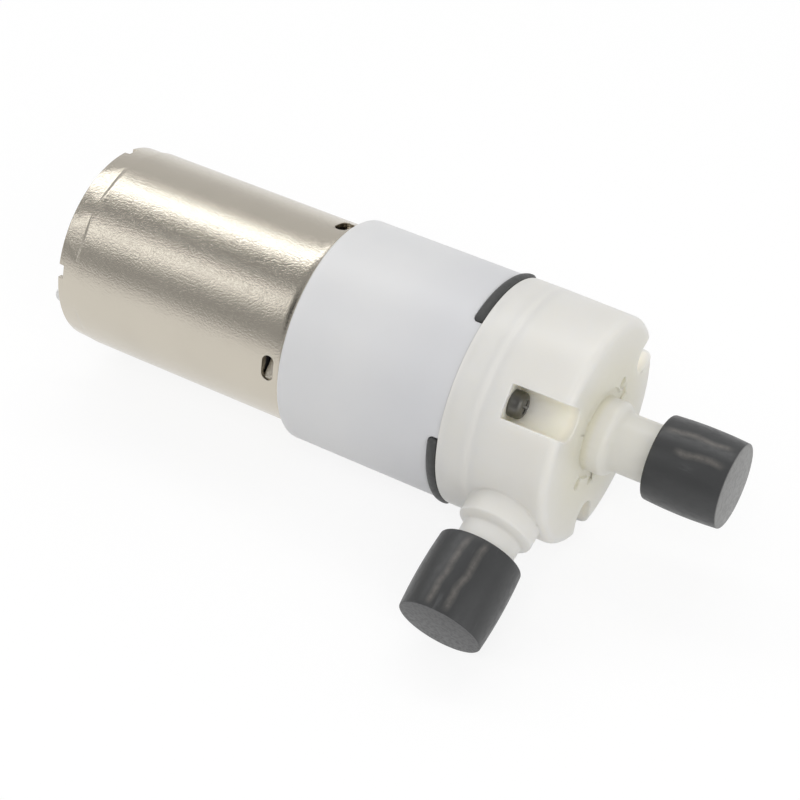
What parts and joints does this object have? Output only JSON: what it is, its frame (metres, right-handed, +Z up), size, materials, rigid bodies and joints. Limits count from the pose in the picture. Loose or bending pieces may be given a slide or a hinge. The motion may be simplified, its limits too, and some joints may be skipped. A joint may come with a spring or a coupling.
{
  "type": "mini water pump",
  "caption": "Small diaphragm pump: a round brushed motor drives a wobble plate and a lobed diaphragm under a screwed head with an axial outlet and a side inlet, both capped.",
  "frame": {"origin": "on the pump axis, in the middle of the plain motor wall that a clip or strap holds", "axes": "+X along the pump axis from the motor towards the outlet nozzle; +Z up with the pump lying on its head and on the rim of the inlet cap; the inlet nozzle points to -Y and slopes down"},
  "size_m": [0.0854, 0.0416, 0.0274],
  "materials": {
    "can_nickel": "nickel plated drawn steel with a fine satin grain",
    "bell_nylon": "moulded white nylon",
    "tin_plate": "bright tin plate",
    "spring_bronze": "rolled spring strip",
    "carbon": "pressed carbon",
    "ferrite": "sintered dark grey ferrite",
    "sintered_bronze": "sintered, oiled",
    "bright_steel": "ground and polished",
    "lamination_steel": "stacked sheets, dull",
    "enamelled_copper": "wound enamelled wire",
    "commutator_copper": "turned copper",
    "drive_nylon": "moulded natural nylon",
    "diaphragm_rubber": "moulded black rubber, satin",
    "housing_plastic": "milky bluish white, slightly translucent, satin",
    "head_plastic": "ivory white, slightly translucent, satin",
    "valve_silicone": "soft silicone, satin",
    "black_screw": "black oxide",
    "cap_rubber": "dark charcoal soft rubber with pale scuffs, softly glossy"
  },
  "bodies": {
    "pump": {"motor_can": "can_nickel", "end_bell": "bell_nylon", "terminals": "tin_plate", "brush_arms": "spring_bronze", "brushes": "carbon", "magnets": "ferrite", "front_bearing": "sintered_bronze", "rear_bearing": "sintered_bronze", "motor_screws": "bright_steel", "pump_housing": "housing_plastic", "diaphragm": "diaphragm_rubber", "valve_plate": "head_plastic", "inlet_valves": "valve_silicone", "outlet_valve": "valve_silicone", "pump_cover": "head_plastic", "cover_screws": "black_screw"},
    "rotor": {"motor_shaft": "bright_steel", "rotor_core": "lamination_steel", "windings": "enamelled_copper", "commutator": "commutator_copper", "shaft_spacers": "bell_nylon", "eccentric": "drive_nylon", "crank_pin": "bright_steel"},
    "wobbler": {"wobble_plate": "drive_nylon", "plungers": "diaphragm_rubber"},
    "outlet_plug": {"outlet_cap": "cap_rubber"},
    "inlet_plug": {"inlet_cap": "cap_rubber"}
  },
  "joints": [
    {"name": "rotor_spin", "type": "hinge", "parent": "pump", "child": "rotor", "pos_m": [0, 0, 0], "axis": [1, 0, 0], "continuous": true},
    {"name": "wobble_turn", "type": "hinge", "parent": "rotor", "child": "wobbler", "pos_m": [0.0342, 0, 0], "axis": [0.9914, 0, 0.1305], "continuous": true},
    {"name": "outlet_cap_pull", "type": "slide", "parent": "pump", "child": "outlet_plug", "axis": [1, 0, 0], "range_m": [0, 0.03]},
    {"name": "inlet_cap_pull", "type": "slide", "parent": "pump", "child": "inlet_plug", "axis": [0, -0.9473, -0.3205], "range_m": [0, 0.03]}
  ],
  "couplings": [
    {"joint": "wobble_turn", "follows": "rotor_spin", "ratio": -1}
  ]
}
